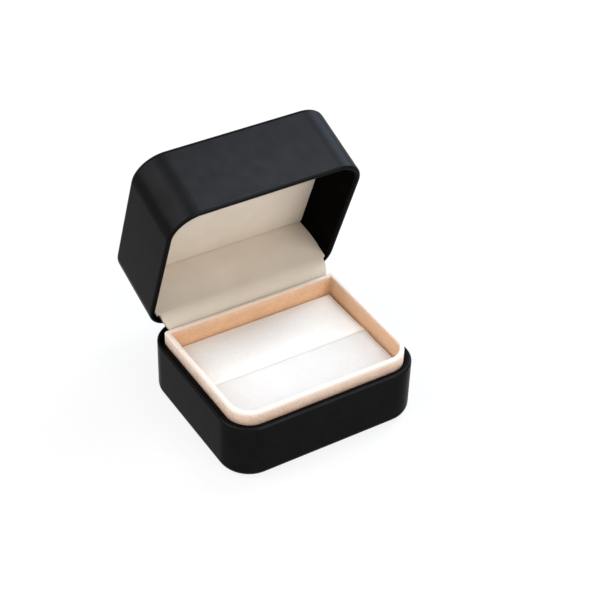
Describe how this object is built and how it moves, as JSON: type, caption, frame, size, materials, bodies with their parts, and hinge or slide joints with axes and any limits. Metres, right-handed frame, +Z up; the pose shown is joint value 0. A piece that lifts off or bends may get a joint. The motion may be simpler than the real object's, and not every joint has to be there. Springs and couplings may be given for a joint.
{
  "type": "jewelry box",
  "caption": "Small hinged ring box with a wrapped rounded shell, a velvet collar, a slit ring pad and a padded lid lining, standing open.",
  "frame": {"origin": "middle of the underside of the base, on the surface it stands on", "axes": "+X along the hinge to the right as seen from the front, -Y towards the front, +Y towards the hinge, +Z up"},
  "size_m": [0.06, 0.0714, 0.0735],
  "materials": {
    "leatherette": "soft satin leatherette",
    "moulded_shell": "moulded",
    "foot_sheet": "matt coated paper",
    "card": "grey board",
    "foam": "soft foam",
    "collar_velvet": "short velvet",
    "pad_velvet": "short velvet",
    "lining_cover": "fine satin",
    "flap_cover": "fine satin",
    "hinge_steel": "dull plated",
    "spring_steel": "spring temper",
    "rivets": "dull plated"
  },
  "bodies": {
    "base": {"base_shell": "moulded_shell", "base_wrap": "leatherette", "foot_sheet": "foot_sheet", "collar_card": "card", "collar_velvet": "collar_velvet", "pad_riser": "foam", "pad_card": "card", "pad_foam_front": "foam", "pad_foam_rear": "foam", "pad_velvet": "pad_velvet", "hinge_base_leaf": "hinge_steel", "hinge_pin": "hinge_steel", "hinge_spring": "spring_steel", "base_rivets": "rivets"},
    "lid": {"lid_shell": "moulded_shell", "lid_wrap": "leatherette", "lining_foam": "foam", "lining_card": "card", "lining_cover": "lining_cover", "flap_board": "card", "flap_cover": "flap_cover", "hinge_lid_leaf": "hinge_steel", "lid_rivets": "rivets"}
  },
  "joints": [
    {"name": "lid_hinge", "type": "hinge", "parent": "base", "child": "lid", "pos_m": [0, 0.02523, 0.01845], "axis": [1, 0, 0], "range_deg": [0, 70], "deforming": ["hinge_spring"]}
  ]
}
